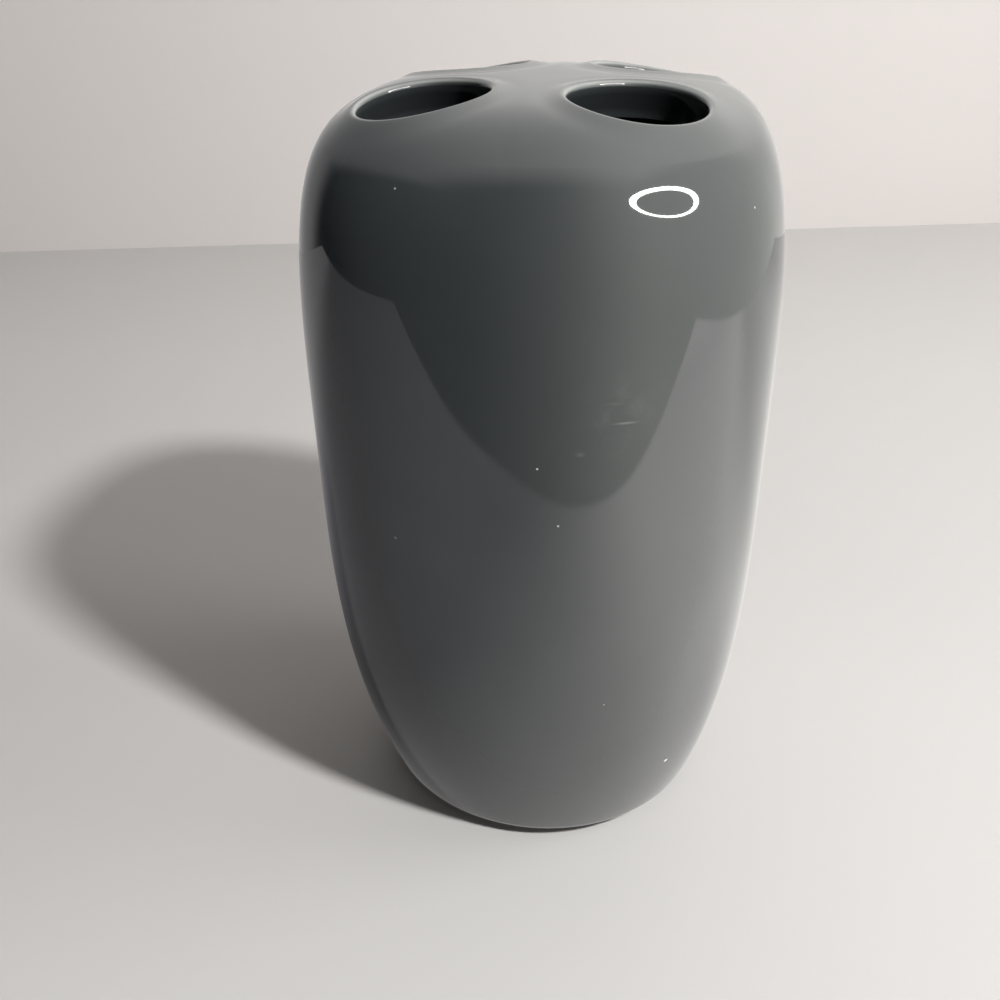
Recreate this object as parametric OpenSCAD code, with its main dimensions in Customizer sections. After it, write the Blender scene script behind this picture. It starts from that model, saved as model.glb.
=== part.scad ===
// Glazed stoneware toothbrush holder: a tall closed tumbler, round at its base
// and softly square at its shoulders, with four round openings in its domed deck,
// standing on four small non-slip pads.
// Millimetres. The origin is at the middle of the surface it stands on, +Z up.
// +X and -Y are flat sides, so the soft corners and the openings lie on the diagonals.

/* [Body] */
// Greatest width of the body across its flat sides, glaze included
body_w = 68; // [64:1:80]
// Height of the deck's middle above the standing surface
body_h = 115; // [100:1:135]
// How far the corners stand out, and the sides draw in, from a round body
corner_share = 0.04; // [0:0.005:0.06]
// Height at which the body is widest
belly_h = 60; // [52:1:70]
// Width that the tapering side would have at the glazed lower edge
base_w = 55.5; // [50:0.5:60]
// How late the side starts to draw in, higher is later
taper_power = 2.75; // [2.2:0.05:4]
// Rounding radius of the bottom edge
base_round = 3; // [2:0.5:5]

/* [Deck] */
// Squareness of the shoulder across, higher leaves a wider flat deck
deck_power = 8.3; // [5:0.1:9]
// Squareness of the shoulder upwards, higher keeps the side straight for longer
shoulder_power = 4.5; // [3:0.1:5]
// Rise of the deck's dome from its rim to its middle
crown_h = 3.6; // [1:0.1:5]
// Flatness of the dome's middle, higher is flatter
crown_power = 2.9; // [2:0.1:4]

/* [Openings] */
// Number of brush openings, and of soft corners
opening_count = 4; // [3:1:4]
// Finished bore of a brush opening
opening_w = 17; // [14:0.2:18]
// Diameter of the circle that the opening centres lie on
opening_circle_w = 38; // [36:0.2:40]
// Outward lean of each opening's axis, in degrees
opening_lean = 9; // [6:1:12]
// Rounding radius of each opening's lip
lip_r = 1.1; // [0.8:0.1:1.6]

/* [Walls] */
// Thickness of the fired clay in the side and the deck
clay_t = 3.6; // [3:0.1:4.5]
// Thickness of the fired clay in the floor
floor_t = 4; // [3:0.5:6]
// Thickness of each glaze coat
glaze_t = 0.4; // [0.3:0.1:0.6]
// Rounding radius where the floor meets the side inside
floor_round = 9; // [7:0.5:12]

/* [Foot] */
// Outer width of the bare clay foot ring
foot_w = 47; // [40:0.5:48]
// Width of the foot ring's bare face
foot_face_w = 2.4; // [1.5:0.1:3.5]
// How far the foot ring stands below the glazed edge
foot_h = 0.5; // [0.3:0.1:1]
// Depth of the hollow inside the foot ring, from the ring's face
recess_d = 1; // [0.8:0.1:1.5]

/* [Pads] */
// Diameter of a pad
pad_w = 8; // [6:0.5:10]
// How far a pad stands below the foot ring
pad_proud = 0.7; // [0.5:0.1:1.2]
// Rounding radius of a pad's lower edge
pad_round = 0.5; // [0.3:0.1:0.7]
// Gap between a pad and the foot ring's inner wall
pad_gap = 1.6; // [1:0.2:3]

/* [Hidden] */

$fn = 96;

// Levels, from the standing surface up
foot_z = pad_proud;
rim_z = foot_z + foot_h;
recess_z = foot_z + recess_d;
clay_floor_z = recess_z + floor_t;
glaze_floor_z = clay_floor_z + glaze_t;

// Plan: round at the base, with one soft corner per opening from the belly up
body_r = body_w / 2 / (1 - corner_share);
around_steps = 56;
opening_turn = 45;
function square_share(z) = corner_share * (1 - pow(1 - min(z / belly_h, 1), 2));
function plan_share(angle, z) = 1 + square_share(z) * cos(opening_count * (angle - opening_turn));

// Outline of the side: a power curve from the base line up to the belly
base_r = base_w / 2;
taper = body_r - base_r;
side_steps = 7;
function side_share(z) = (belly_h - z) / (belly_h - rim_z);
function side_r(z) = body_r - taper * pow(side_share(z), taper_power);
function side_slope(z) = taper * taper_power * pow(side_share(z), taper_power - 1) / (belly_h - rim_z);

// A point of the side, moved inwards by the distance in
function side_point(z, in) =
    let (slope = side_slope(z), long = sqrt(1 + slope * slope))
    [side_r(z) - in / long, z + in * slope / long];

// The bottom edge is an arc that touches the base plane and the side
edge_lean = atan(side_slope(rim_z));
edge_x = base_r + base_round * (tan(edge_lean) - 1 / cos(edge_lean));
edge_z = rim_z + base_round;
edge_steps = 4;
function edge_point(angle, in) =
    [edge_x + (base_round - in) * sin(angle), edge_z - (base_round - in) * cos(angle)];
side_start_z = edge_z - base_round * sin(edge_lean);

// Outline of the deck: a superellipse under a flat dome
deck_rise = body_h - crown_h - belly_h;
function deck_point(across, up, in) =
    let (
        fall = shoulder_power * pow(up, shoulder_power - 1) / deck_rise,
        out = deck_power * pow(across, deck_power - 1) / body_r
            + fall * crown_h * crown_power * pow(across, crown_power - 1) / body_r,
        long = norm([out, fall])
    )
    [
        body_r * across - in * out / long,
        belly_h + deck_rise * up + crown_h * (1 - pow(across, crown_power)) - in * fall / long
    ];

// Its points: first by height up to the shoulder, then by width to the middle
shoulder_share = 0.8;
shoulder_steps = 6;
crown_steps = 9;
function across_share(up) = pow(1 - pow(up, shoulder_power), 1 / deck_power);
function up_share(across) = pow(1 - pow(across, deck_power), 1 / shoulder_power);
function deck_outline(in) = concat(
    [for (i = [0 : shoulder_steps])
        let (up = shoulder_share * (1 - pow(1 - i / shoulder_steps, 2)))
        deck_point(across_share(up), up, in)],
    [for (i = [1 : crown_steps - 1])
        let (across = across_share(shoulder_share) * (1 - pow(i / crown_steps, 2)))
        deck_point(across, up_share(across), in)]
);

// Height of the deck's surface at a distance from the middle, towards a corner
function deck_z(r) =
    let (across = r / body_r / (1 + corner_share))
    belly_h + deck_rise * up_share(across) + crown_h * (1 - pow(across, crown_power));

// Whole outline of the body, moved inwards by the distance in
function body_outline(in) = concat(
    [for (i = [0 : edge_steps]) edge_point((90 - edge_lean) * i / edge_steps, in)],
    [for (i = [1 : side_steps - 1])
        side_point(side_start_z + (belly_h - side_start_z) * i / side_steps, in)],
    deck_outline(in)
);

// Outline of the hollow, a wall's thickness inside the body, with a round floor edge
function hollow_outline(in, floor_z, edge_r) =
    let (
        low = side_point(floor_z + edge_r, in),
        rise_z = low[1] - floor_z
    )
    concat(
        [for (i = [0 : edge_steps]) [
            low[0] - edge_r * (1 - sin(90 * i / edge_steps)),
            low[1] - rise_z * cos(90 * i / edge_steps)
        ]],
        [for (i = [1 : side_steps - 1])
            side_point(floor_z + edge_r + (belly_h - floor_z - edge_r) * i / side_steps, in)],
        deck_outline(in)
    );

// A closed form: one ring of points for each point of an outline, and the two middles
module plan_form(outline, floor_z, top_z) {
    rings = len(outline);
    low = rings * around_steps;
    points = concat(
        [for (p = outline, k = [0 : around_steps - 1])
            let (angle = 360 * k / around_steps, r = p[0] * plan_share(angle, p[1]))
            [r * cos(angle), r * sin(angle), p[1]]],
        [[0, 0, floor_z], [0, 0, top_z]]
    );
    sides = [for (j = [0 : rings - 2], k = [0 : around_steps - 1])
        let (
            n = (k + 1) % around_steps,
            a = j * around_steps + k,
            b = j * around_steps + n,
            c = a + around_steps,
            d = b + around_steps
        )
        each [[a, c, b], [b, c, d]]];
    ends = [for (k = [0 : around_steps - 1])
        let (n = (k + 1) % around_steps, top = low - around_steps)
        each [[low, k, n], [low + 1, top + n, top + k]]];
    polyhedron(points = points, faces = concat(sides, ends), convexity = 4);
}

// A brush opening: a bore with a rolled lip, cut from above down into the hollow
opening_r = opening_w / 2;
opening_circle_r = opening_circle_w / 2;
inner_edge_r = opening_circle_r - opening_r;
side_edge_r = norm([opening_circle_r, opening_r]);
lip_z = (deck_z(side_edge_r) + deck_z(inner_edge_r) - opening_r * sin(opening_lean)) / 2;
bore_d = clay_t + 2 * glaze_t + opening_r;
lip_steps = 6;

module at_opening(i) {
    rotate([0, 0, opening_turn + 360 * i / opening_count])
        translate([opening_circle_r, 0, lip_z])
            rotate([0, opening_lean, 0])
                children();
}

module opening_cutter(coat) {
    bore_r = opening_r + coat;
    roll_r = lip_r - coat / 2;
    flare = lip_r - coat;
    rotate_extrude()
        polygon(concat(
            [[0, -bore_d], [bore_r, -bore_d]],
            [for (i = [0 : lip_steps]) [
                bore_r + roll_r * (1 - cos(90 * i / lip_steps)),
                roll_r * (sin(90 * i / lip_steps) - 1) - coat
            ]],
            [[bore_r + roll_r + flare, flare], [bore_r + roll_r + flare, body_r], [0, body_r]]
        ));
}

module openings(coat) {
    for (i = [0 : opening_count - 1])
        at_opening(i) opening_cutter(coat);
}

module body_form(in) {
    plan_form(body_outline(in), rim_z + in, body_h - in);
}

module hollow_form(in, floor_z, edge_r) {
    plan_form(hollow_outline(in, floor_z, edge_r), floor_z, body_h - in);
}

// Foot ring and the shallow hollow inside it
foot_r = foot_w / 2;
foot_inner_r = foot_r - foot_face_w;

module foot_cylinder(r, top_z) {
    translate([0, 0, foot_z])
        cylinder(r = r, h = top_z - foot_z);
}

module under_cutter(r, top_z) {
    cylinder(r = r, h = top_z);
}

// The fired clay, without its glaze
module clay_body() {
    color([0.86, 0.83, 0.77])
    difference() {
        union() {
            body_form(glaze_t);
            foot_cylinder(foot_r, recess_z + floor_t / 2);
        }
        under_cutter(foot_inner_r, recess_z);
        hollow_form(glaze_t + clay_t, clay_floor_z, floor_round);
        openings(glaze_t);
    }
}

// The grey glaze coat on the outside, over the lips and down through the bores
module outer_glaze() {
    color([0.30, 0.32, 0.32])
    difference() {
        body_form(0);
        difference() {
            body_form(glaze_t);
            openings(glaze_t);
        }
        hollow_form(glaze_t + clay_t, clay_floor_z, floor_round);
        openings(0);
        under_cutter(foot_r, recess_z + floor_t / 2);
    }
}

// The same coat poured round the inside
module liner_glaze() {
    color([0.33, 0.35, 0.35])
    difference() {
        hollow_form(glaze_t + clay_t, clay_floor_z, floor_round);
        hollow_form(2 * glaze_t + clay_t, glaze_floor_z, floor_round - glaze_t);
        openings(0);
    }
}

// A self-adhesive bumper, stuck inside the foot ring
pad_r = pad_w / 2;
pad_circle_r = foot_inner_r - pad_gap - pad_r;
pad_steps = 6;

module pad(turn) {
    color([0.16, 0.16, 0.17])
    rotate([0, 0, turn])
        translate([pad_circle_r, 0, 0])
            rotate_extrude()
                polygon(concat(
                    [[0, 0]],
                    [for (k = [0 : pad_steps]) [
                        pad_r - pad_round * (1 - sin(90 * k / pad_steps)),
                        pad_round * (1 - cos(90 * k / pad_steps))
                    ]],
                    [[pad_r, recess_z], [0, recess_z]]
                ));
}

module pad_front() { pad(-90); }
module pad_right() { pad(0); }
module pad_back() { pad(90); }
module pad_left() { pad(180); }

clay_body();
outer_glaze();
liner_glaze();
pad_front();
pad_right();
pad_back();
pad_left();
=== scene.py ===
import math
from functools import cached_property

import bmesh
import bpy
from mathutils import Matrix, Vector


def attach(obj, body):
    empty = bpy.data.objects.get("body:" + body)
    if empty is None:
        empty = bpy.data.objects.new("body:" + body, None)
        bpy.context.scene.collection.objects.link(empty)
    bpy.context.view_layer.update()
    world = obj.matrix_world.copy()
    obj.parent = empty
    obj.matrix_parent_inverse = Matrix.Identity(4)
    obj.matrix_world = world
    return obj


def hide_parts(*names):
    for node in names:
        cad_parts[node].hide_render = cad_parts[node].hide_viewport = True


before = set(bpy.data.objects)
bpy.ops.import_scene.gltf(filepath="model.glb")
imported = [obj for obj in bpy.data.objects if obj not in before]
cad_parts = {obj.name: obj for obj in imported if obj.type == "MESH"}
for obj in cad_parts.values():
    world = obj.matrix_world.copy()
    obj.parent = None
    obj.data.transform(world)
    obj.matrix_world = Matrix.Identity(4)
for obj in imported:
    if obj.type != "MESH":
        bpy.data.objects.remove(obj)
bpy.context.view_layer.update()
print("frame loaded:", ", ".join(sorted(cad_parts)))


class Wire:  # a socket that takes part in sums, in shader and geometry trees alike
    def __init__(self, socket):
        self.socket = socket

    def math(self, operation, *others):
        return mathNode(self.socket.id_data, operation, self, *others)

    def output(self, name):
        return Wire(self.socket.node.outputs[name])

    def __add__(self, other):
        return self.math("ADD", other)

    def __radd__(self, other):
        return self.math("ADD", other)

    def __sub__(self, other):
        return self.math("SUBTRACT", other)

    def __rsub__(self, other):
        return mathNode(self.socket.id_data, "SUBTRACT", other, self)

    def __mul__(self, other):
        return self.math("MULTIPLY", other)

    def __rmul__(self, other):
        return self.math("MULTIPLY", other)

    def __truediv__(self, other):
        return self.math("DIVIDE", other)

    def __rtruediv__(self, other):
        return mathNode(self.socket.id_data, "DIVIDE", other, self)

    def __pow__(self, other):
        return self.math("POWER", other)

    def sqrt(self):
        return self.math("SQRT")

    def sine(self):
        return self.math("SINE")

    def cosine(self):
        return self.math("COSINE")

    def clamped(self):
        return self.math("MAXIMUM", 0.0).math("MINIMUM", 1.0)


def addNode(tree, kind, settings=None, inputs=None, output=0):
    node = tree.nodes.new(kind)
    for name, value in (settings or {}).items():
        setattr(node, name, value)
    for name, value in (inputs or {}).items():
        if isinstance(value, (list, tuple)) and value and isinstance(value[0], Wire):
            for wire in value:  # a socket that takes several links
                tree.links.new(wire.socket, node.inputs[name])
        elif isinstance(value, Wire):
            tree.links.new(value.socket, node.inputs[name])
        else:
            node.inputs[name].default_value = value
    return Wire(node.outputs[output])


def mathNode(tree, operation, *values):
    return addNode(tree, "ShaderNodeMath", {"operation": operation}, dict(enumerate(values)))


def smoothStep(value, low, high):
    step = ((value - low) / (high - low)).clamped()
    return step * step * (3.0 - 2.0 * step)


def softPeak(value, middle, spread):
    # 1 at the middle, fading to both sides
    share = (value - middle) / spread
    return (share * share * -1.0).math("EXPONENT")


def planLength(x, y):
    return (x * x + y * y).sqrt()


def mixColours(tree, factor, first, second):
    return addNode(tree, "ShaderNodeMix", {"data_type": "RGBA"}, {0: factor, 6: first, 7: second}, 2)


# sizes in millimetres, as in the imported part; the lips' relief and the pads' dimples are added here
holderSizes = {
    "Body width": 68.0,
    "Body height": 115.0,
    "Corner share": 0.04,
    "Belly height": 60.0,
    "Base width": 55.5,
    "Taper power": 2.75,
    "Base round": 3.0,
    "Deck power": 8.3,
    "Shoulder power": 4.5,
    "Crown height": 3.6,
    "Crown power": 2.9,
    "Deck border": 0.86,
    "Opening width": 17.0,
    "Opening circle": 38.0,
    "Opening lean": 9.0,
    "Lip width": 0.9,
    "Lip depth": 0.9,
    "Bead height": 0.26,
    "Bead away": 0.4,
    "Bead spread": 1.4,
    "Dip depth": 0.06,
    "Dip away": 3.2,
    "Dip spread": 1.2,
    "Bore drop": 0.05,
    "Clay thickness": 3.6,
    "Floor thickness": 4.0,
    "Glaze thickness": 0.4,
    "Floor round": 9.0,
    "Foot width": 47.0,
    "Foot face": 2.4,
    "Foot height": 0.5,
    "Foot edge": 0.35,
    "Recess depth": 1.0,
    "Pad proud": 0.7,
    "Pad width": 8.0,
    "Pad round": 0.5,
    "Pad circle": 31.0,
    "Dimple width": 4.4,
    "Dimple depth": 0.15,
    "Openings": 4,
    "Pads": 4,
}
wholeLabels = ("Around", "Along one side", "Rows", "Openings", "Pads")
sheetLook = {
    "shoulderCrowding": 2.25,  # how much closer the rows lie where the shoulder meets the deck
    "deckCrowding": 0.6,  # the same for the deck's rows at its border and at the openings
    "reliefGrowth": 3.0,  # how soon the relief round a lip reaches its height from the border
    "roundPull": 0.5523,  # share of the way to the corner that makes a curve a quarter round
    "footRounds": 4,  # rounds that settle where a bore meets an inner sheet
    "lipMiddle": 0.5,  # where the glaze is thinnest across the lip and the painted highlight brightest
    "lipSpread": 0.22,
    "leastReach": 0.0001,  # keeps the deck's middle point from a division by zero
}


class HolderForm:  # a geometry tree and the holder's sizes in it, each made when it is first asked for
    def __init__(self, name):
        self.tree = bpy.data.node_groups.new(name, "GeometryNodeTree")
        self.tree.interface.new_socket("Geometry", in_out="OUTPUT", socket_type="NodeSocketGeometry")
        self.inputs = self.tree.nodes.new("NodeGroupInput")
        self.labels = []

    def size(self, label):
        if label not in self.labels:
            kind = "NodeSocketInt" if label in wholeLabels else "NodeSocketFloat"
            self.tree.interface.new_socket(label, in_out="INPUT", socket_type=kind)
            self.labels.append(label)
        return Wire(self.inputs.outputs[label])

    def finish(self, geometry):
        end = self.tree.nodes.new("NodeGroupOutput")
        self.tree.links.new(geometry.socket, end.inputs["Geometry"])

    @cached_property
    def radius(self):
        return self.size("Body width") / 2.0 / (1.0 - self.size("Corner share"))

    @cached_property
    def rise(self):
        return self.size("Body height") - self.size("Crown height") - self.size("Belly height")

    @cached_property
    def taper(self):
        return self.radius - self.size("Base width") / 2.0

    @cached_property
    def rim(self):
        return self.size("Pad proud") + self.size("Foot height")

    @cached_property
    def recess(self):
        return self.size("Pad proud") + self.size("Recess depth")

    @cached_property
    def clayFloor(self):
        return self.recess + self.size("Floor thickness")

    @cached_property
    def footRadius(self):
        return self.size("Foot width") / 2.0

    @cached_property
    def circle(self):
        return self.size("Opening circle") / 2.0

    @cached_property
    def bore(self):
        return self.size("Opening width") / 2.0

    @cached_property
    def lean(self):
        return self.size("Opening lean") * (math.pi / 180.0)

    @cached_property
    def leanCos(self):
        return self.lean.cosine()

    @cached_property
    def leanSin(self):
        return self.lean.sine()

    @cached_property
    def sector(self):
        return (2.0 * math.pi) / self.size("Openings")

    @cached_property
    def baseSlope(self):
        return self.taper * self.size("Taper power") / (self.size("Belly height") - self.rim)

    @cached_property
    def edgeLean(self):
        return self.baseSlope.math("ARCTANGENT")

    @cached_property
    def edgeReach(self):
        drawn = self.size("Base round") * (self.baseSlope - 1.0 / self.edgeLean.cosine())
        return self.size("Base width") / 2.0 + drawn

    @cached_property
    def edgeLevel(self):
        return self.rim + self.size("Base round")

    @cached_property
    def sideStart(self):
        return self.edgeLevel - self.size("Base round") * self.edgeLean.sine()


def planShare(form, angle, level):
    rising = (level / form.size("Belly height")).math("MINIMUM", 1.0)
    square = form.size("Corner share") * (1.0 - (1.0 - rising) * (1.0 - rising))
    return 1.0 + square * (form.size("Openings") * angle).cosine()


def deckShare(form, x, y):
    return 1.0 + form.size("Corner share") * (form.size("Openings") * y.math("ARCTAN2", x)).cosine()


def deckNormal(form, across, up=None):
    powers = ("Deck power", "Shoulder power", "Crown power")
    deckPower, shoulderPower, crownPower = (form.size(name) for name in powers)
    if up is None:
        up = (1.0 - across ** deckPower) ** (1.0 / shoulderPower)
    fall = shoulderPower * up ** (shoulderPower - 1.0) / form.rise
    out = deckPower * across ** (deckPower - 1.0) / form.radius
    out = out + fall * form.size("Crown height") * crownPower * across ** (crownPower - 1.0) / form.radius
    long = (fall * fall + out * out).sqrt()
    return up, out / long, fall / long


def deckProfile(form, across, inset, up=None):
    up, out, fall = deckNormal(form, across, up)
    crown = form.size("Crown height") * (1.0 - across ** form.size("Crown power"))
    level = form.size("Belly height") + form.rise * up + crown - inset * fall
    return form.radius * across - inset * out, level


def sideProfile(form, level, inset):
    span = form.size("Belly height") - form.rim
    share, power = (form.size("Belly height") - level) / span, form.size("Taper power")
    slope = form.taper * power * share ** (power - 1.0) / span
    long = (1.0 + slope * slope).sqrt()
    return form.radius - form.taper * share ** power - inset / long, level + inset * slope / long


def lipRelief(form, x, y):
    # a faint bead round the opening and a shallow dip outside it
    away = planLength(x - form.circle, y) - form.bore
    bead = form.size("Bead height") * softPeak(away, form.size("Bead away"), form.size("Bead spread"))
    return bead - form.size("Dip depth") * softPeak(away, form.size("Dip away"), form.size("Dip spread"))


def deckPoint(form, x, y, inset, relief=None):
    # the deck over plan point (x, y), moved inwards along its normal
    reach, share = planLength(x, y), deckShare(form, x, y)
    moved, level = deckProfile(form, reach / (form.radius * share), inset)
    scale = moved * share / reach.math("MAXIMUM", sheetLook["leastReach"])
    if relief is not None:
        level = level + lipRelief(form, x, y) * relief
    return x * scale, y * scale, level


def boreFoot(form, turn, radius, inset):
    # the plan point whose inward move lands on the bore's wall
    x = form.circle + radius * turn[0] * form.leanCos - (inset + form.size("Bore drop")) * form.leanSin
    y = radius * turn[1]
    aim = planLength(x, y) / (form.radius * deckShare(form, x, y))
    across = aim
    for _ in range(sheetLook["footRounds"]):
        across = aim + inset / form.radius * deckNormal(form, across)[1]
    return x * across / aim, y * across / aim


def mixPoints(first, second, share):
    return [a + (b - a) * share for a, b in zip(first, second)]


def sheetTree(name, across, place, mark=None):
    # a tree for a sheet of quads whose points go where place(form, u, v) says
    form = HolderForm(name)
    grid = addNode(form.tree, "GeometryNodeMeshGrid", {}, {
        "Size X": 1.0, "Size Y": 1.0,
        "Vertices X": across(form) + 1.0, "Vertices Y": form.size("Rows") + 1.0,
    })
    position = addNode(form.tree, "GeometryNodeInputPosition")
    axes = addNode(form.tree, "ShaderNodeSeparateXYZ", {}, {0: position})
    u = (axes + 0.5).clamped()
    v = (axes.output("Y") + 0.5).clamped()
    if mark:
        kind = {"data_type": "FLOAT", "domain": "POINT"}
        grid = addNode(form.tree, "GeometryNodeStoreNamedAttribute", kind, {
            "Geometry": grid, "Name": "lipShare", "Value": mark(v),
        })
    x, y, z = place(form, u, v)
    spot = addNode(form.tree, "ShaderNodeCombineXYZ", {}, {0: x, 1: y, 2: z})
    form.finish(addNode(form.tree, "GeometryNodeSetPosition", {}, {"Geometry": grid, "Position": spot}))
    return form


def ringTree(name, profile):
    # a sheet of the side, whose rows follow profile(form, v) -> reach, level
    def place(form, u, v):
        angle = (u - 0.5) * form.sector
        reach, level = profile(form, v)
        wide = reach * planShare(form, angle, level)
        return wide * angle.cosine(), wide * angle.sine(), level
    return sheetTree(name, lambda form: form.size("Around"), place)


def deckColumns(form):
    return form.size("Along one side") * 2.0 + form.size("Around")


def shoulderRows(form, v):
    whole = (form.size("Deck border") ** (form.size("Deck power") / 2.0)).math("ARCCOSINE")
    turn = whole * (1.0 - v) ** sheetLook["shoulderCrowding"]
    across = turn.cosine() ** (2.0 / form.size("Deck power"))
    up = turn.sine() ** (2.0 / form.size("Shoulder power"))
    return deckProfile(form, across, form.size("Inset"), up)


def sideRows(form, v):
    belly = form.size("Belly height")
    return sideProfile(form, belly + (form.size("End level") - belly) * v, form.size("Inset"))


def bottomEdgeRows(form, v):
    # a round edge whose first row is the side's last
    turn, left = math.pi / 2.0 - form.edgeLean, form.size("Base round") - form.size("Inset")
    sideReach, sideLevel = sideProfile(form, form.sideStart, form.size("Inset"))
    reach = form.edgeReach + left * (turn * (1.0 - v)).sine()
    level = form.edgeLevel - left * (turn * (1.0 - v)).cosine()
    reachGap = sideReach - (form.edgeReach + left * turn.sine())
    levelGap = sideLevel - (form.edgeLevel - left * turn.cosine())
    return reach + reachGap * (1.0 - v), level + levelGap * (1.0 - v)


def floorEdgeRows(form, v):
    edge, floorLevel = form.size("Edge round"), form.size("End level")
    reach, level = sideProfile(form, floorLevel + edge, form.size("Inset"))
    angle = (math.pi / 2.0) * (1.0 - v)
    drop = (level - floorLevel) * (1.0 - angle.cosine())
    return reach - edge * (1.0 - angle.sine()), floorLevel + drop


def floorRows(form, v):
    edge, floorLevel = form.size("Edge round"), form.size("End level")
    reach = sideProfile(form, floorLevel + edge, form.size("Inset"))[0] - edge
    return reach * (1.0 - v), floorLevel + v * 0.0


def straightRows(form, v):
    start = (form.size("Start reach"), form.size("Start level"))
    return mixPoints(start, (form.size("End reach"), form.size("End level")), v)


def cornerRows(form, v):
    # a quarter round from an upright wall down to a flat face, inwards or outwards by the edge's sign
    edge = form.size("Edge round")
    angle = (math.pi / 2.0) * (1.0 - v)
    rise = edge.math("ABSOLUTE") * (1.0 - angle.cosine())
    return form.size("Start reach") - edge * (1.0 - angle.sine()), form.size("Start level") + rise


def openingBorder(form, u):
    # once round one opening's part of the deck: out along one side, round the arc, back in
    edge, around = form.size("Along one side"), form.size("Around")
    step = u * (edge * 2.0 + around)
    outward = (step / edge).clamped()
    turned = ((step - edge) / around).clamped()
    inward = ((step - edge - around) / edge).clamped()
    angle = (turned - 0.5) * form.sector
    share = 1.0 + form.size("Corner share") * (form.size("Openings") * angle).cosine()
    reach = form.radius * form.size("Deck border") * share * outward * (1.0 - inward)
    x, y = reach * angle.cosine(), reach * angle.sine()
    away = planLength(x - form.circle, y)
    return (x, y), ((x - form.circle) / away, y / away)


def boreCircle(form, turn, radius):
    return form.circle + radius * turn[0] * form.leanCos, radius * turn[1]


def lipPoints(form, turn):
    # border of the deck, corner of the rolled lip and start of the bore's straight wall
    inset = form.size("Inset")
    deckEnd = deckPoint(form, *boreCircle(form, turn, form.bore + form.size("Lip width")), inset, 1.0)
    corner = deckPoint(form, *boreCircle(form, turn, form.bore + inset), inset, 1.0)
    drop = form.size("Lip depth") - inset
    foot = (corner[0] - drop * form.leanSin, corner[1], corner[2] - drop * form.leanCos)
    return deckEnd, corner, foot


def deckStep(v):
    crowding = sheetLook["deckCrowding"]
    return (1.0 - crowding) * v + crowding * v * v * (3.0 - 2.0 * v)


def outerDeckPlace(form, u, v):
    border, turn = openingBorder(form, u)
    hole = boreCircle(form, turn, form.bore + form.size("Lip width"))
    x, y = mixPoints(border, hole, deckStep(v))
    return deckPoint(form, x, y, form.size("Inset"), (v * sheetLook["reliefGrowth"]).clamped())


def innerDeckPlace(form, u, v):
    border, turn = openingBorder(form, u)
    hole = boreFoot(form, turn, form.size("Bore radius"), form.size("Inset"))
    x, y = mixPoints(border, hole, deckStep(v))
    return deckPoint(form, x, y, form.size("Inset"))


def lipPlace(form, u, v):
    # a curve with four control points, from the deck over the corner into the bore
    deckEnd, corner, foot = lipPoints(form, openingBorder(form, u)[1])
    first, second = (mixPoints(end, corner, sheetLook["roundPull"]) for end in (deckEnd, foot))
    low = mixPoints(mixPoints(deckEnd, first, v), mixPoints(first, second, v), v)
    high = mixPoints(mixPoints(first, second, v), mixPoints(second, foot, v), v)
    return mixPoints(low, high, v)


# strength of the pale lip line, partly thin glaze and partly painted highlight
def lipMark(v):
    return softPeak(v, sheetLook["lipMiddle"], sheetLook["lipSpread"])


def boreShadeMark(v):
    # below zero, which marks the bore's wall for the painted shade in the glaze
    return v * 0.0 - 1.0


def wallEnd(form, turn, radiusLabel, insetLabel):
    radius, inset = form.size(radiusLabel), form.size(insetLabel)
    x, y = boreFoot(form, turn, radius, inset)
    return deckPoint(form, x, y, inset)


def boreWallPlace(form, u, v):
    turn = openingBorder(form, u)[1]
    return mixPoints(lipPoints(form, turn)[2], wallEnd(form, turn, "Bore radius", "End inset"), v)


def boreEdgePlace(form, u, v):
    turn = openingBorder(form, u)[1]
    start = wallEnd(form, turn, "Bore radius", "Inset")
    return mixPoints(start, wallEnd(form, turn, "End radius", "End inset"), v)


outerDeck = sheetTree("deck with lips", deckColumns, outerDeckPlace)
innerDeck = sheetTree("deck from below", deckColumns, innerDeckPlace)
rolledLip = sheetTree("rolled lip", deckColumns, lipPlace, lipMark)
boreWall = sheetTree("bore wall", deckColumns, boreWallPlace, boreShadeMark)
boreEdge = sheetTree("bore edge", deckColumns, boreEdgePlace)
shoulderSheet = ringTree("shoulder", shoulderRows)
sideSheet = ringTree("side", sideRows)
bottomEdge = ringTree("bottom edge", bottomEdgeRows)
floorEdge = ringTree("floor edge", floorEdgeRows)
floorSheet = ringTree("floor", floorRows)
straightSheet = ringTree("straight ring", straightRows)
cornerSheet = ringTree("quarter round", cornerRows)
print("sheets drawn")


class PieceForm(HolderForm):  # the tree of a whole piece, which lays sheets side by side
    def __init__(self, name, counts):
        super().__init__(name)
        self.counts = counts
        self.sheets = []

    def lay(self, sheet, rows, values):
        given = {"Around": self.counts["around"], "Along one side": self.counts["oneSide"], "Rows": rows}
        given.update(values)
        inputs = {label: given[label] if label in given else self.size(label) for label in sheet.labels}
        self.sheets.append(addNode(self.tree, "GeometryNodeGroup", {"node_tree": sheet.tree}, inputs))

    def layRing(self, rows, start, end, values=None):
        # a flat, upright or sloping ring between two (reach, level) pairs
        ends = {"Start reach": start[0], "Start level": start[1], "End reach": end[0], "End level": end[1]}
        self.lay(straightSheet, rows, {**ends, **(values or {})})


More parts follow.
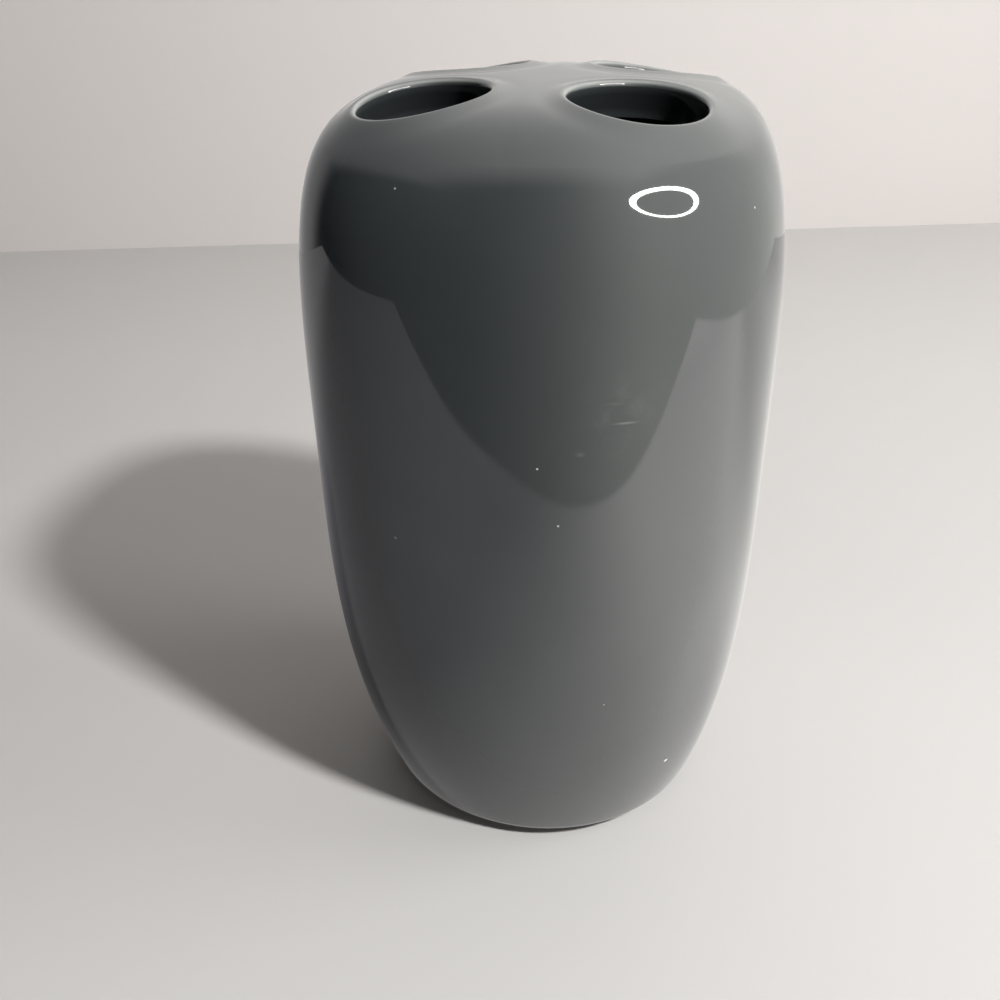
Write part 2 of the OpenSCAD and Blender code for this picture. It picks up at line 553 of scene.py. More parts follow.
def layOuter(form, inset):
    # deck, lips, side and bottom, with bores down to the hollow
    counts, inner = form.counts, form.size("Glaze thickness") + form.size("Clay thickness")
    bore = {"Inset": inset, "Bore radius": form.bore + inset, "End inset": inner}
    form.lay(outerDeck, counts["deck"], {"Inset": inset})
    form.lay(rolledLip, counts["lip"], {"Inset": inset})
    form.lay(boreWall, counts["bore"], bore)
    form.lay(shoulderSheet, counts["shoulder"], {"Inset": inset})
    form.lay(sideSheet, counts["side"], {"Inset": inset, "End level": form.sideStart})
    form.lay(bottomEdge, counts["edge"], {"Inset": inset})
    form.layRing(counts["base"], (form.edgeReach, form.rim + inset), (form.footRadius, form.rim + inset))


def layHollow(form, inset, boreRadius, floorLevel, edge):
    # the same form from within, closed by a floor with a round edge
    counts, floor = form.counts, {"Inset": inset, "End level": floorLevel, "Edge round": edge}
    form.lay(innerDeck, counts["deck"], {"Inset": inset, "Bore radius": boreRadius})
    form.lay(shoulderSheet, counts["shoulder"], {"Inset": inset})
    form.lay(sideSheet, counts["side"], {"Inset": inset, "End level": floorLevel + edge})
    form.lay(floorEdge, counts["edge"], floor)
    form.lay(floorSheet, counts["floor"], floor)


def outerGlazeForm(form):
    glaze = form.size("Glaze thickness")
    inner = glaze + form.size("Clay thickness")
    layOuter(form, glaze * 0.0)
    layOuter(form, glaze)
    form.lay(boreEdge, 1, {
        "Inset": inner, "Bore radius": form.bore, "End inset": inner, "End radius": form.bore + glaze,
    })
    form.layRing(1, (form.footRadius, form.rim), (form.footRadius, form.rim + glaze))


def clayBodyForm(form):
    glaze, edge, ground = form.size("Glaze thickness"), form.size("Foot edge"), form.size("Pad proud")
    ring, counts = form.footRadius, form.counts
    inside = ring - form.size("Foot face")
    layOuter(form, glaze)
    form.layRing(1, (ring, form.rim + glaze), (ring, ground + edge))
    form.lay(cornerSheet, counts["footEdge"], {
        "Start reach": ring, "Start level": ground, "Edge round": edge,
    })
    form.layRing(counts["footFace"], (ring - edge, ground), (inside + edge, ground))
    form.lay(cornerSheet, counts["footEdge"], {
        "Start reach": inside, "Start level": ground, "Edge round": edge * -1.0,
    })
    form.layRing(1, (inside, ground + edge), (inside, form.recess))
    form.layRing(counts["recess"], (inside, form.recess), (0.0, form.recess))
    inner = glaze + form.size("Clay thickness")
    layHollow(form, inner, form.bore + glaze, form.clayFloor, form.size("Floor round"))


def linerGlazeForm(form):
    glaze, edge = form.size("Glaze thickness"), form.size("Floor round")
    outer = glaze + form.size("Clay thickness")
    layHollow(form, outer, form.bore, form.clayFloor, edge)
    layHollow(form, outer + glaze, form.bore, form.clayFloor + glaze, edge - glaze)
    form.lay(boreEdge, 1, {
        "Inset": outer, "Bore radius": form.bore, "End inset": outer + glaze, "End radius": form.bore,
    })


def padForm(form):
    # one pad about its own axis: a dimpled underside, a round edge, the side and the glued top
    alone, rows = {"Openings": 1, "Corner share": 0.0}, form.counts["flat"]
    radius, edge = form.size("Pad width") / 2.0, form.size("Pad round")
    dimple, deep = form.size("Dimple width") / 2.0, form.size("Dimple depth")
    form.layRing(rows, (0.0, deep), (dimple - deep * 2.0, deep), alone)
    form.layRing(rows, (dimple - deep * 2.0, deep), (dimple, 0.0), alone)
    form.layRing(rows, (dimple, 0.0), (radius - edge, 0.0), alone)
    form.lay(cornerSheet, form.counts["padEdge"], {
        "Start reach": radius, "Start level": 0.0, "Edge round": edge, **alone,
    })
    form.layRing(1, (radius, edge), (radius, form.recess), alone)
    form.layRing(rows, (radius, form.recess), (0.0, form.recess), alone)


# the weld's distance in millimetres, a millimetre in metres, and the least angle of a sharp edge in degrees
meshLook = {"weldGap": 0.003, "millimetre": 0.001, "sharpAngle": 50.0}


def closeForm(form, material, countLabel, firstTurn, distance):
    # repeat one part round the axis, weld it, and give it its finish
    tree = form.tree
    part = addNode(tree, "GeometryNodeJoinGeometry", {}, {"Geometry": form.sheets})
    count = form.size(countLabel)
    turn = (addNode(tree, "GeometryNodeInputIndex") + firstTurn) * (2.0 * math.pi / count)
    spot = addNode(tree, "ShaderNodeCombineXYZ", {}, {0: turn.cosine() * distance, 1: turn.sine() * distance})
    points = addNode(tree, "GeometryNodePoints", {}, {"Count": count, "Position": spot})
    spin = addNode(tree, "ShaderNodeCombineXYZ", {}, {2: turn})
    copies = addNode(tree, "GeometryNodeInstanceOnPoints", {}, {
        "Points": points, "Instance": part, "Rotation": spin,
    })
    whole = addNode(tree, "GeometryNodeRealizeInstances", {}, {"Geometry": copies})
    gap, scale = meshLook["weldGap"], meshLook["millimetre"]
    welded = addNode(tree, "GeometryNodeMergeByDistance", {}, {"Geometry": whole, "Distance": gap})
    metres = addNode(tree, "GeometryNodeTransform", {}, {"Geometry": welded, "Scale": (scale, scale, scale)})
    smooth = addNode(tree, "GeometryNodeSetShadeSmooth", {}, {"Geometry": metres})
    form.finish(addNode(tree, "GeometryNodeSetMaterial", {}, {"Geometry": smooth, "Material": material}))


def plainPiece(name, tree, values):
    # runs the tree on an empty object and keeps its result as a closed mesh
    maker = bpy.data.objects.new(name + "Maker", bpy.data.meshes.new(name + "Maker"))
    bpy.context.scene.collection.objects.link(maker)
    modifier = maker.modifiers.new("form", "NODES")
    modifier.node_group = tree
    for item in tree.interface.items_tree:
        if item.in_out == "INPUT":
            modifier[item.identifier] = values[item.name]
    bpy.context.view_layer.update()
    made = maker.evaluated_get(bpy.context.evaluated_depsgraph_get())
    mesh = bpy.data.meshes.new_from_object(made)
    maker.modifiers.remove(modifier)
    bpy.data.objects.remove(maker)
    work = bmesh.new()
    work.from_mesh(mesh)
    bmesh.ops.recalc_face_normals(work, faces=work.faces)
    openEdges = sum(1 for edge in work.edges if not edge.is_manifold)
    if work.calc_volume(signed=True) < 0.0:
        bmesh.ops.reverse_faces(work, faces=work.faces)
    work.to_mesh(mesh)
    volume = work.calc_volume(signed=True)
    work.free()
    mesh.name = name
    mesh.set_sharp_from_angle(angle=math.radians(meshLook["sharpAngle"]))
    piece = bpy.data.objects.new(name, mesh)
    bpy.context.scene.collection.objects.link(piece)
    print(f"{name}: {len(mesh.polygons)} faces, {openEdges} open edges, {volume * 1e6:.2f} cm3")
    return piece


def newMaterial(name):
    material = bpy.data.materials.new(name)
    material.use_nodes = True
    material.node_tree.nodes.clear()
    return material, material.node_tree


def endTree(tree, shader, kind="ShaderNodeOutputMaterial"):
    end = tree.nodes.new(kind)
    tree.links.new(shader.socket, end.inputs["Surface"])


def finishShader(tree, constants, varying):
    # constants are set on the shader's own sockets, varying ones are linked
    endTree(tree, addNode(tree, "ShaderNodeBsdfPrincipled", {}, {**constants, **varying}))


def objectPoint(tree):
    return addNode(tree, "ShaderNodeTexCoord", output=3)


def noise(tree, point, look):
    labels = ("Scale", "Detail", "Roughness", "Distortion")
    return addNode(tree, "ShaderNodeTexNoise", {}, {"Vector": point, **dict(zip(labels, look))})


def spotMask(tree, point, centre, radius, softness):
    away = addNode(tree, "ShaderNodeVectorMath", {"operation": "DISTANCE"}, {0: point, 1: centre}, "Value")
    return 1.0 - smoothStep(away, radius * (1.0 - softness), radius * (1.0 + softness))


def strokeMask(tree, point, centre, long, high):
    # a short, nearly level stroke with a soft edge
    away = addNode(tree, "ShaderNodeVectorMath", {"operation": "SUBTRACT"}, {0: point, 1: centre})
    axes = addNode(tree, "ShaderNodeSeparateXYZ", {}, {0: away})
    raised = axes.output("Z") - glazeLook["strokeRise"] * axes
    return softPeak(axes, 0.0, long) * softPeak(raised, 0.0, high)


# colours, sizes in metres, and textures as scale, detail, roughness and distortion
glazeLook = {
    "deep": (0.041, 0.0455, 0.0468, 1.0),
    "thin": (0.052, 0.0575, 0.0580, 1.0),
    # pale colour of the lip line: partly thin glaze, partly painted highlight
    "lip": (0.34, 0.35, 0.33, 1.0),
    # painted shade: the hollow's glaze, darker than the outside
    "liner": (0.022, 0.025, 0.025, 1.0),
    # painted shade: near-black colour of the bore walls inside the openings
    "bore": (0.016, 0.018, 0.019, 1.0),
    "ior": 1.85,
    "roughness": 0.035,
    "cloud": (26.0, 3.0, 0.55, 0.4),
    "cloudSpan": (0.3, 0.75),
    "pinholeScale": 330.0,
    "pinholeSize": (0.06, 0.11),
    "pinholeChance": 0.0007,
    "pinholeColour": (0.30, 0.30, 0.28, 1.0),
    "pinholeShare": 0.5,
    "pinholeDepth": 0.4,
    "pinholeDull": 0.3,
    # noise and shares of the lip line, which is partly painted highlight
    "thinGlazeAndHighlightNoise": (210.0, 2.0, 0.5),
    "thinGlazeAndHighlightShares": (0.35, 0.5),
    "specks": (  # centre, radius and strength
        ((0.0235, -0.0227, 0.0165), 0.00034, 1.0),
        ((0.0047, -0.0339, 0.0736), 0.00014, 0.8),
        ((0.0074, -0.0337, 0.0654), 0.00013, 0.8),
        ((0.0141, -0.0318, 0.0346), 0.00011, 0.5),
        ((-0.0127, -0.0294, 0.1064), 0.00013, 0.4),
        ((0.0282, -0.0192, 0.1030), 0.00012, 0.5),
    ),
    "speckColour": (0.85, 0.85, 0.82, 1.0),
    "speckSoftness": 0.35,
    "haze": {"centre": (0.0148, -0.0323, 0.0810), "radius": 0.0042, "softness": 0.8, "strength": 0.035},
    "hazeMarks": (420.0, 4.0, 0.6),
    "hazeSpan": (0.40, 0.75),
    "strokes": (  # centre, half length, half height and strength
        ((0.0153, -0.0322, 0.0800), 0.00115, 0.00013, 0.20),
        ((0.0100, -0.0334, 0.0758), 0.00050, 0.00030, 0.07),
        ((0.0139, -0.0325, 0.0826), 0.00110, 0.00022, 0.035),
    ),
    "strokeRise": 0.04,
    "rubColour": (0.60, 0.62, 0.60, 1.0),
    "ripple": (55.0, 2.0, 0.4),
    "rippleBump": {"Strength": 0.12, "Distance": 0.0004},
    "dull": (90.0, 4.0, 0.6),
    "dullSpan": (0.45, 0.8),
    "dullShare": 0.03,
}


def pinholes(tree, point):
    # a few cells of a fine pattern hold a pinhole in their middle
    scale = glazeLook["pinholeScale"]
    cells = addNode(tree, "ShaderNodeTexVoronoi", {}, {"Vector": point, "Scale": scale})
    chance = addNode(tree, "ShaderNodeSeparateColor", {}, {0: cells.output("Color")})
    held = chance.math("GREATER_THAN", 1.0 - glazeLook["pinholeChance"])
    return (1.0 - smoothStep(cells, *glazeLook["pinholeSize"])) * held


def rubbedShare(tree, point):
    # the strokes and the haze round them
    haze = glazeLook["haze"]
    marks = smoothStep(noise(tree, point, glazeLook["hazeMarks"]), *glazeLook["hazeSpan"])
    spot = spotMask(tree, point, haze["centre"], haze["radius"], haze["softness"])
    rubbed = spot * marks * haze["strength"]
    for centre, long, high, strength in glazeLook["strokes"]:
        rubbed = rubbed.math("MAXIMUM", strokeMask(tree, point, centre, long, high) * strength)
    return rubbed


def glazeMaterial(name, deep, thin, lips):
    material, tree = newMaterial(name)
    point = objectPoint(tree)
    cloud = smoothStep(noise(tree, point, glazeLook["cloud"]), *glazeLook["cloudSpan"])
    colour = mixColours(tree, cloud, deep, thin)
    pinhole = pinholes(tree, point)
    colour = mixColours(tree, pinhole * glazeLook["pinholeShare"], colour, glazeLook["pinholeColour"])
    if lips:
        # a pale line along each lip: partly the glaze thinning at the edge, partly a painted highlight of the
        # rolled lip
        share = addNode(tree, "ShaderNodeAttribute", {"attribute_name": "lipShare"}, output="Fac")
        least, more = glazeLook["thinGlazeAndHighlightShares"]
        thinGlazeAndHighlight = share * (least + more * noise(tree, point, glazeLook["thinGlazeAndHighlightNoise"]))
        colour = mixColours(tree, thinGlazeAndHighlight.clamped(), colour, glazeLook["lip"])
        # painted shade: the bore's wall darkened to its near-black colour
        colour = mixColours(tree, (share * -1.0).clamped(), colour, glazeLook["bore"])
        for centre, radius, strength in glazeLook["specks"]:
            mask = spotMask(tree, point, centre, radius, glazeLook["speckSoftness"]) * strength
            colour = mixColours(tree, mask, colour, glazeLook["speckColour"])
        colour = mixColours(tree, rubbedShare(tree, point), colour, glazeLook["rubColour"])
    ripple = noise(tree, point, glazeLook["ripple"])
    bump = addNode(tree, "ShaderNodeBump", {}, {
        **glazeLook["rippleBump"], "Height": ripple - glazeLook["pinholeDepth"] * pinhole,
    })
    dull = glazeLook["dullShare"] * smoothStep(noise(tree, point, glazeLook["dull"]), *glazeLook["dullSpan"])
    finishShader(tree, {"IOR": glazeLook["ior"]}, {
        "Base Color": colour,
        "Roughness": glazeLook["roughness"] + dull + glazeLook["pinholeDull"] * pinhole,
        "Normal": bump,
    })
    return material


clayLook = {
    "pale": (0.74, 0.70, 0.63, 1.0),
    "warm": (0.66, 0.60, 0.51, 1.0),
    "grit": (0.34, 0.27, 0.20, 1.0),
    "roughness": 0.86,
    "rougher": 0.08,
    "tone": (70.0, 4.0, 0.6),
    "grain": (1400.0, 3.0, 0.65),
    "gritStart": 0.68,
    "gritShare": 0.35,
    "grainBump": {"Strength": 0.5, "Distance": 0.0002},
}


def clayMaterial():
    material, tree = newMaterial("fired stoneware clay")
    point = objectPoint(tree)
    tone, grain = noise(tree, point, clayLook["tone"]), noise(tree, point, clayLook["grain"])
    colour = mixColours(tree, tone, clayLook["pale"], clayLook["warm"])
    grit = grain.math("GREATER_THAN", clayLook["gritStart"]) * clayLook["gritShare"]
    colour = mixColours(tree, grit, colour, clayLook["grit"])
    finishShader(tree, {}, {
        "Base Color": colour,
        "Roughness": clayLook["roughness"] + clayLook["rougher"] * tone,
        "Normal": addNode(tree, "ShaderNodeBump", {}, {**clayLook["grainBump"], "Height": grain}),
    })
    return material


padLook = {
    "dark": (0.016, 0.016, 0.017, 1.0),
    "dusty": (0.060, 0.058, 0.055, 1.0),
    "roughness": 0.62,
    "rougher": 0.2,
    "dust": (420.0, 4.0, 0.65),
    "dustSpan": (0.55, 0.8),
    "dustShare": 0.6,
    "grain": (2600.0, 2.0, 0.5),
    "grainBump": {"Strength": 0.4, "Distance": 0.0001},
}


def padMaterial():
    material, tree = newMaterial("soft black bumper")
    point = objectPoint(tree)
    dust, grain = noise(tree, point, padLook["dust"]), noise(tree, point, padLook["grain"])
    share = smoothStep(dust, *padLook["dustSpan"]) * padLook["dustShare"]
    finishShader(tree, {}, {
        "Base Color": mixColours(tree, share, padLook["dark"], padLook["dusty"]),
        "Roughness": padLook["roughness"] + padLook["rougher"] * dust,
        "Normal": addNode(tree, "ShaderNodeBump", {}, {**padLook["grainBump"], "Height": grain}),
    })
    return material


outerFinish = glazeMaterial("grey gloss glaze", glazeLook["deep"], glazeLook["thin"], True)
# the hollow's glaze, painted darker than the outside as shade inside the body
linerFinish = glazeMaterial("liner glaze darkened as painted shade", glazeLook["liner"], glazeLook["deep"], False)
clayFinish = clayMaterial()
padFinish = padMaterial()
print("finishes made")

# each piece's form, finish, slot, nodes and repeats, and how many faces its sheets have along and across
holderPieces = {
    "outerGlaze": {
        "form": outerGlazeForm, "finish": outerFinish, "slot": "outer_glaze", "replaces": ["outer_glaze"],
        "repeated": "Openings", "firstTurn": 0.5,
        "counts": {
            "around": 40, "oneSide": 26, "deck": 36, "lip": 10, "bore": 4,
            "shoulder": 40, "side": 24, "edge": 8, "base": 3,
        },
    },
    "clayBody": {
        "form": clayBodyForm, "finish": clayFinish, "slot": "bare_clay", "replaces": ["clay_body"],
        "repeated": "Openings", "firstTurn": 0.5,
        "counts": {
            "around": 24, "oneSide": 16, "deck": 10, "lip": 4, "bore": 2,
            "shoulder": 18, "side": 14, "edge": 6, "base": 3,
            "footEdge": 4, "footFace": 2, "recess": 6, "floor": 6,
        },
    },
    "linerGlaze": {
        "form": linerGlazeForm, "finish": linerFinish, "slot": "liner_glaze", "replaces": ["liner_glaze"],
        "repeated": "Openings", "firstTurn": 0.5,
        "counts": {
            "around": 28, "oneSide": 18, "deck": 12, "shoulder": 20, "side": 14, "edge": 8, "floor": 6,
        },
    },
    "pads": {
        "form": padForm, "finish": padFinish, "slot": "pad",
        "replaces": ["pad_front", "pad_right", "pad_back", "pad_left"],
        "repeated": "Pads", "firstTurn": 0.0, "circle": "Pad circle",
        "counts": {"around": 64, "oneSide": 4, "flat": 2, "padEdge": 8},
    },
}
for pieceName, look in holderPieces.items():
    pieceForm = PieceForm(pieceName + "Form", look["counts"])
    look["form"](pieceForm)
    distance = pieceForm.size(look["circle"]) / 2.0 if "circle" in look else 0.0
    closeForm(pieceForm, look["finish"], look["repeated"], look["firstTurn"], distance)
    piece = plainPiece(pieceName, pieceForm.tree, holderSizes)
    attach(piece, "root")
    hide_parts(*look["replaces"])

# the stage: floor, backdrop, lamps and camera, in metres and all turned with the camera's own frame
stageLook = {
    "turn": 9.48,  # degrees from the camera's frame to the part's
    "halfWidth": 1.6,
    "frontAway": 1.2,
    "wallHeight": 1.4,
    "backdropAway": 0.335,
    "backdropSlope": 0.0755,
    "floor": (0.54, 0.525, 0.51, 1.0),
    # painted light: the table paler towards the back
    "floorFarPaintedLight": (0.589, 0.572, 0.556, 1.0),
    "floorSpan": (0.03, 0.2),
    "backdrop": (0.80, 0.757, 0.733, 1.0),
    "mottle": (14.0, 4.0, 0.6),
    "mottleShare": 0.025,
    "roughness": 0.75,
    "ambient": (0.09, 0.09, 0.09, 1.0),  # what lights the holder and the table evenly
    "leastSquare": 0.0001,  # keeps a direction from a division by zero
}
stageTurn = Matrix.Rotation(math.radians(stageLook["turn"]), 4, "Z")

# painted reflection: glossy rays see the table glow with these colours, pale, with painted shade to the left
# and a painted shadow of the holder close to it
paintedTableLook = {
    "left": (0.150, 0.145, 0.168, 1.0),
    "right": (1.92, 1.88, 1.82, 1.0),
    "sideSpan": (-0.055, 0.085),
    "backLeft": (0.45, 0.44, 0.45, 1.0),
    "backRight": (1.14, 1.12, 1.07, 1.0),
    "backSpanLeft": (0.03, 0.15),
    "backSpanRight": (-0.02, 0.06),
    "far": (0.72, 0.70, 0.68, 1.0),
    "farSpan": (0.14, 0.30),
    "shadeLeft": (0.04, 0.04, 0.045, 1.0),
    "shadeRight": (1.25, 1.22, 1.18, 1.0),
    "shadeReach": (0.035, 0.10),
    "shadeSpan": (-0.035, -0.005),
    "leftEdge": (-0.72, -0.70, 0.02, -0.03),  # place, lean and softness
    "rightEdge": (0.37, 0.40),
    "frontEdge": 0.148,
    "frontSlants": (-0.55, 0.36),
    "frontRound": 0.0012,
    "frontBack": 0.035,
    "frontSpan": (-0.002, 0.005),
    "share": 0.75,  # of the painted reflection's colour, the rest being the table's own
}
# what the gloss sees round the table: a dim room, darkest to the left, with paler walls and ceiling
roomLook = {
    "left": (0.0, 0.003, 0.014, 1.0),
    "right": (1.00, 1.00, 0.94, 1.0),
    "sideSpan": (-0.55, 0.62),
    "ceilingLeft": (0.29, 0.29, 0.295, 1.0),
    "ceilingRight": (1.45, 1.43, 1.37, 1.0),
    "ceilingSpan": (-0.8, 0.5),
    "wallLeft": (0.38, 0.37, 0.38, 1.0),
    "wallRight": (0.86, 0.84, 0.81, 1.0),
    "wallSpan": (-0.9, 0.4),
    "wallTop": (0.02, 0.45),
    "backWallSpan": (0.30, 0.62),
    "backWallSide": (0.1, -0.1),
    "edgeRise": 0.65,
    "edgeSpan": (-0.40, 0.12),
    "rightCorner": (1.37, 0.5),  # strength and slope
    "leftCorner": (1.4, 1.0),
}


def stagePlane(name, corners, material):
    mesh = bpy.data.meshes.new(name)
    mesh.from_pydata([stageTurn @ Vector(corner) for corner in corners], [], [(0, 1, 2, 3)])
    mesh.materials.append(material)
    plane = bpy.data.objects.new(name, mesh)
    bpy.context.scene.collection.objects.link(plane)
    return plane


def stageAxes(tree, source):
    # a point or a direction in the camera's own frame
    turned = addNode(tree, "ShaderNodeVectorRotate", {"rotation_type": "Z_AXIS"}, {
        "Vector": source, "Angle": -math.radians(stageLook["turn"]),
    })
    axes = addNode(tree, "ShaderNodeSeparateXYZ", {}, {0: turned})
    return axes, axes.output("Y"), axes.output("Z")


def flatLength(x, y):
    return (x * x + y * y + stageLook["leastSquare"]).sqrt()


def roomColour(tree, x, y):
    side = smoothStep(x / flatLength(x, y), *roomLook["sideSpan"])
    return mixColours(tree, side, roomLook["left"], roomLook["right"])


def backWallShare(x, y):
    # the pale wall behind, seen to the left along the table and above it
    behind = smoothStep(y / flatLength(x, y), *roomLook["backWallSpan"])
    return behind * smoothStep(x, *roomLook["backWallSide"])


def paleShader(tree, colour):
    mottle = noise(tree, objectPoint(tree), stageLook["mottle"]) * stageLook["mottleShare"]
    pale = mixColours(tree, mottle, colour, (0.0, 0.0, 0.0, 1.0))
    return addNode(tree, "ShaderNodeBsdfPrincipled", {}, {
        "Base Color": pale, "Roughness": stageLook["roughness"],
    })


def wallMaterial():
    material, tree = newMaterial("pale wall")
    endTree(tree, paleShader(tree, stageLook["backdrop"]))
    return material


def beyondTable(x, y):
    # 1 past the table's front, left and right edges, where the painted reflection shows the room
    slant = (x * paintedTableLook["frontSlants"][0]).math("MAXIMUM", x * paintedTableLook["frontSlants"][1])
    rounded = (slant * slant + paintedTableLook["frontRound"]).sqrt() - paintedTableLook["frontBack"]
    front = smoothStep(y * -1.0 - (rounded + paintedTableLook["frontEdge"]), *paintedTableLook["frontSpan"])
    place, lean, *softness = paintedTableLook["leftEdge"]
    left = smoothStep(x - (place + lean * y), *softness) * (1.0 - backWallShare(x, y))
    return front.math("MAXIMUM", left).math("MAXIMUM", smoothStep(x, *paintedTableLook["rightEdge"]))


def paintedTableReflection(tree, x, y, beyond):
    # a painted reflection of the table, with painted shade to the left
    side = smoothStep(x, *paintedTableLook["sideSpan"])
    start, end = mixPoints(paintedTableLook["backSpanLeft"], paintedTableLook["backSpanRight"], side)
    here = mixColours(tree, side, paintedTableLook["left"], paintedTableLook["right"])
    behind = mixColours(tree, side, paintedTableLook["backLeft"], paintedTableLook["backRight"])
    colour = mixColours(tree, smoothStep(y, start, end), here, behind)
    colour = mixColours(tree, smoothStep(y, *paintedTableLook["farSpan"]) * side, colour, paintedTableLook["far"])
    colour = mixColours(tree, beyond, colour, roomColour(tree, x, y))
    # painted shadow of the holder in the painted reflection, darkest near its foot
    close = 1.0 - smoothStep(planLength(x, y), *paintedTableLook["shadeReach"])
    shade = mixColours(tree, side, paintedTableLook["shadeLeft"], paintedTableLook["shadeRight"])
    return mixColours(tree, close * smoothStep(y, *paintedTableLook["shadeSpan"]), colour, shade)


def tableMaterial():
    material, tree = newMaterial("pale table with painted reflection")
    x, y, _ = stageAxes(tree, objectPoint(tree))
    # painted light: the table's colour paler towards the back
    away = smoothStep(y, *stageLook["floorSpan"])
    floor = mixColours(tree, away, stageLook["floor"], stageLook["floorFarPaintedLight"])
    beyond = beyondTable(x, y)
    seen = paintedTableReflection(tree, x, y, beyond)
    # painted reflection: the table glows with these colours for glossy rays only
    glow = addNode(tree, "ShaderNodeEmission", {}, {"Color": seen, "Strength": 1.0})
    glossy = addNode(tree, "ShaderNodeLightPath", output="Is Glossy Ray")
    share = glossy * (paintedTableLook["share"] + (1.0 - paintedTableLook["share"]) * beyond)
    endTree(tree, addNode(tree, "ShaderNodeMixShader", {}, {0: share, 1: paleShader(tree, floor), 2: glow}))
    return material


wide, front, top = (stageLook[name] for name in ("halfWidth", "frontAway", "wallHeight"))
away, slope = stageLook["backdropAway"], stageLook["backdropSlope"]
leftAway, rightAway = away - wide * slope, away + wide * slope
stagePlane("floor", [
    (-wide, -front, 0), (wide, -front, 0), (wide, rightAway, 0), (-wide, leftAway, 0),
], tableMaterial())
stagePlane("backdrop", [
    (-wide, leftAway, 0), (wide, rightAway, 0), (wide, rightAway, top), (-wide, leftAway, top),
], wallMaterial()).visible_glossy = False

ringLook = {
    "place": (0.326, -0.360, 0.315),
    "across": (0.133, 0.113, -0.037),
    "along": (-0.104, 0.145, -0.003),
    "inner": 0.84,
    "steps": 96,
    "colour": (1.0, 0.985, 0.96, 1.0),
    "strength": 30.0,
}


def ringLamp():
    # a ring of light that shows in the glaze alone
    steps = ringLook["steps"]
    place, across, along = (Vector(ringLook[name]) for name in ("place", "across", "along"))
    corners, faces = [], []
    for step in range(steps):
        angle = 2.0 * math.pi * step / steps
        reach = across * math.cos(angle) + along * math.sin(angle)
        corners.extend(stageTurn @ (place + reach * share) for share in (ringLook["inner"], 1.0))
        here, there = 2 * step, 2 * ((step + 1) % steps)
        faces.append((here, here + 1, there + 1, there))
    mesh = bpy.data.meshes.new("ringLamp")
    mesh.from_pydata(corners, [], faces)
    material, tree = newMaterial("ring lamp glow")
    endTree(tree, addNode(tree, "ShaderNodeEmission", {}, {
        "Color": ringLook["colour"], "Strength": ringLook["strength"],
    }))
    mesh.materials.append(material)
    lamp = bpy.data.objects.new("ringLamp", mesh)
    lamp.visible_camera = False
    lamp.visible_diffuse = False
    bpy.context.scene.collection.objects.link(lamp)


ringLamp()

lampLook = {
    "key": {"place": (0.269, -0.232, 0.433), "aim": (0.0, 0.0, 0.05), "size": 0.05, "power": 3.5},
    "overhead": {"place": (0.0, 0.1, 1.1), "aim": (0.0, 0.0, 0.0), "size": 0.9, "power": 0.7},
    "rightFill": {"place": (0.85, 0.05, 0.50), "aim": (0.1, 0.15, 0.10), "size": 0.5, "power": 3.3},
}


def softLamp(name, place, aim, size, power):
    light = bpy.data.lights.new(name, "AREA")
    light.shape = "DISK"
    light.size = size
    light.energy = power
    lamp = bpy.data.objects.new(name, light)
    lamp.visible_glossy = False
    facing = (Vector(aim) - Vector(place)).normalized().to_track_quat("-Z", "Y").to_matrix().to_4x4()
    lamp.matrix_world = stageTurn @ Matrix.Translation(place) @ facing
    bpy.context.scene.collection.objects.link(lamp)


for lampName, look in lampLook.items():
    softLamp(lampName, **look)


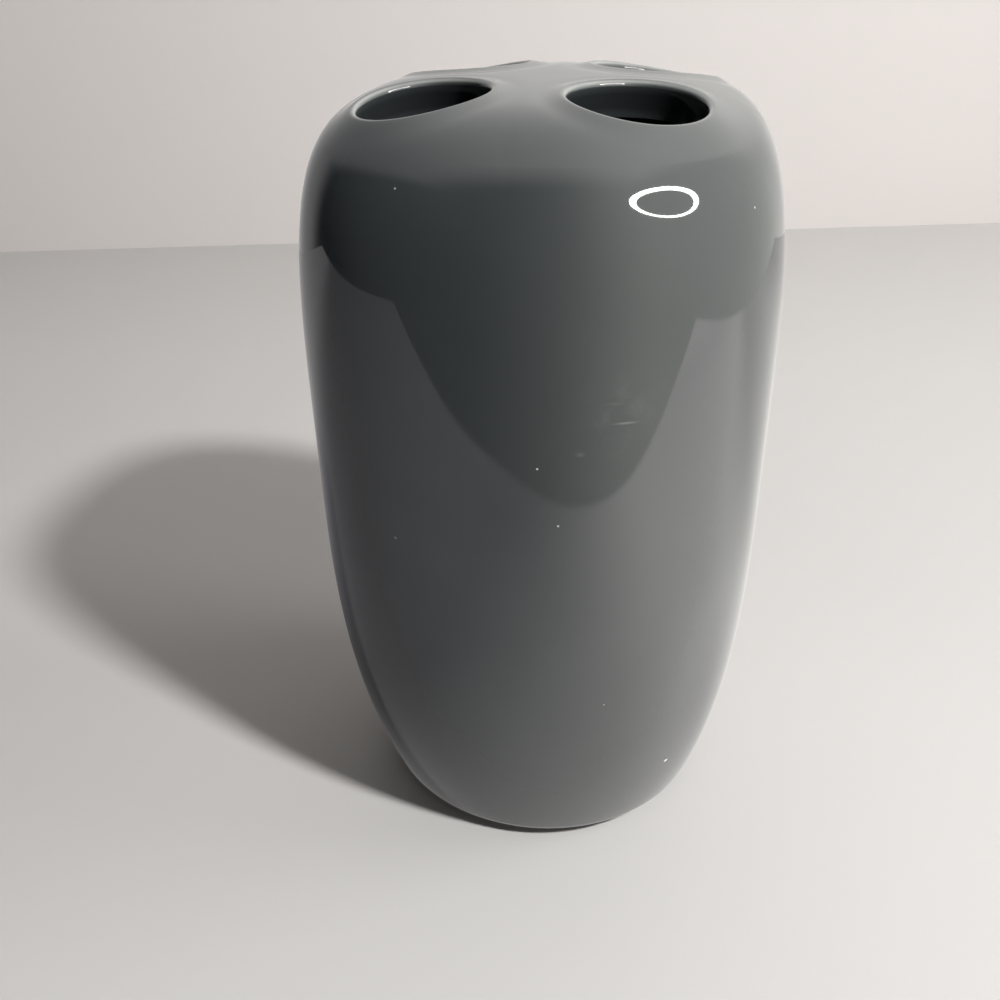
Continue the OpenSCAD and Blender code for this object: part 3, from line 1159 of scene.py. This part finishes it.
def studioWorld():
    # even light on the object, while the gloss sees the dim room and its ceiling
    world = bpy.data.worlds.new("studio")
    bpy.context.scene.world = world
    world.use_nodes = True
    tree = world.node_tree
    tree.nodes.clear()
    x, y, z = stageAxes(tree, addNode(tree, "ShaderNodeTexCoord", output=0))
    ceiling = mixColours(
        tree, smoothStep(x, *roomLook["ceilingSpan"]), roomLook["ceilingLeft"], roomLook["ceilingRight"])
    wall = mixColours(tree, smoothStep(x, *roomLook["wallSpan"]), roomLook["wallLeft"], roomLook["wallRight"])
    pale = mixColours(tree, smoothStep(z, *roomLook["wallTop"]), wall, ceiling)
    (rightStrength, rightSlope), (leftStrength, leftSlope) = roomLook["rightCorner"], roomLook["leftCorner"]
    corners = rightStrength * (x - rightSlope * z).math("MAXIMUM", 0.0)
    corners = corners + leftStrength * (x * -1.0 - leftSlope * z).math("MAXIMUM", 0.0)
    above = smoothStep(y + roomLook["edgeRise"] * z - corners, *roomLook["edgeSpan"])
    seen = mixColours(tree, above.math("MAXIMUM", backWallShare(x, y)), roomColour(tree, x, y), pale)
    glossy = addNode(tree, "ShaderNodeLightPath", output="Is Glossy Ray")
    colour = mixColours(tree, glossy, stageLook["ambient"], seen)
    glow = addNode(tree, "ShaderNodeBackground", {}, {"Color": colour, "Strength": 1.0})
    endTree(tree, glow, "ShaderNodeOutputWorld")


studioWorld()

# placed so that the picture shows the holder as the photograph does; angles in radians
cameraLook = {
    "away": 0.1439, "height": 0.1333, "pitch": 0.5287, "yaw": -0.0516, "roll": -0.0225,
    "sensor": 36.0, "lens": 36.0, "nearest": 0.01,
}


def photoCamera():
    data = bpy.data.cameras.new("camera")
    data.sensor_fit = "HORIZONTAL"
    data.sensor_width = cameraLook["sensor"]
    data.lens = cameraLook["lens"]
    data.clip_start = cameraLook["nearest"]
    camera = bpy.data.objects.new("camera", data)
    pitch, yaw, roll = (cameraLook[name] for name in ("pitch", "yaw", "roll"))
    forward = Vector((math.sin(yaw) * math.cos(pitch), math.cos(yaw) * math.cos(pitch), -math.sin(pitch)))
    right = Vector((math.cos(yaw), -math.sin(yaw), 0.0))
    up = right.cross(forward)
    right, up = (
        math.cos(roll) * right + math.sin(roll) * up,
        math.cos(roll) * up - math.sin(roll) * right,
    )
    axes = Matrix((right, up, -forward)).transposed().to_4x4()
    axes.translation = Vector((0.0, -cameraLook["away"], cameraLook["height"]))
    camera.matrix_world = stageTurn @ axes
    bpy.context.scene.collection.objects.link(camera)
    bpy.context.scene.camera = camera


photoCamera()
bpy.context.scene.view_settings.view_transform = "Standard"
print("stage set")
